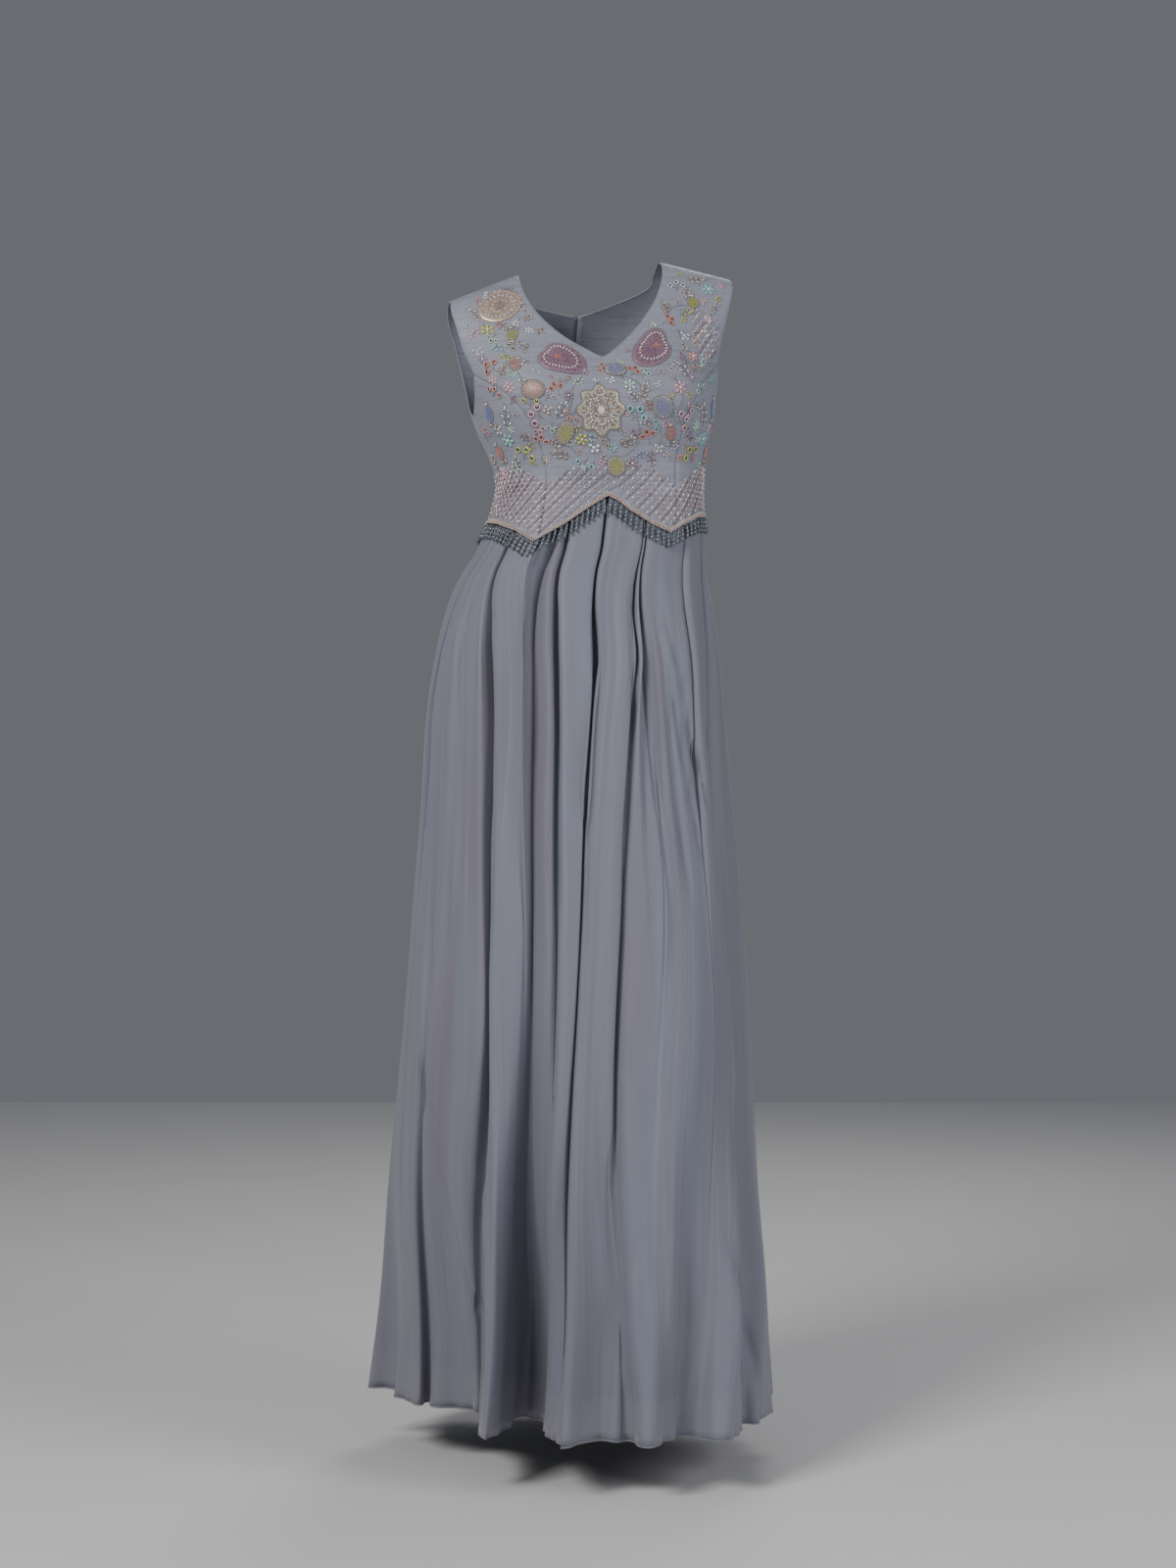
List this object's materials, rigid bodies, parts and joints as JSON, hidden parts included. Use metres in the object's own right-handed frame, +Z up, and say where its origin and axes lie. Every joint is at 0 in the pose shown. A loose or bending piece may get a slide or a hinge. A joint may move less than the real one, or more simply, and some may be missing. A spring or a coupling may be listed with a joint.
{
  "type": "anarkali gown",
  "caption": "Sleeveless floor-length gown in its worn shape, with a beaded V-neck bodice, a pointed fringed waist and a full pleated skirt.",
  "frame": {"origin": "midway between the two shoulders, where the wearer holds the gown up", "axes": "+Z up along the wearer, -Y towards the front, +X towards the wearer's left"},
  "size_m": [0.4985, 0.543, 1.4054],
  "materials": {
    "slub_silk": "slate blue-grey slubbed silk, soft sheen",
    "pleated_chiffon": "slate blue-grey chiffon over a lining, matt with a faint sheen",
    "bead_work": "glass beads and sequins sewn on cloth, glossy",
    "glass_fringe": "dark teal-grey glass beads on a rose-gold beaded cord, glossy"
  },
  "bodies": {
    "root": {"bodice_front": "slub_silk", "bodice_side_front_right": "slub_silk", "bodice_side_front_left": "slub_silk", "bodice_back_right": "slub_silk", "bodice_back_left": "slub_silk", "skirt_front": "pleated_chiffon", "skirt_back": "pleated_chiffon", "hem_trim_front": "glass_fringe", "hem_trim_back": "glass_fringe", "motif_lotus": "bead_work", "motif_paisley_right": "bead_work", "motif_paisley_left": "bead_work", "motif_rosette_right": "bead_work", "motif_bud_right": "bead_work", "motif_bud_left": "bead_work", "motif_drop_right": "bead_work", "motif_drop_left": "bead_work", "motif_disc_centre": "bead_work"}
  },
  "joints": []
}
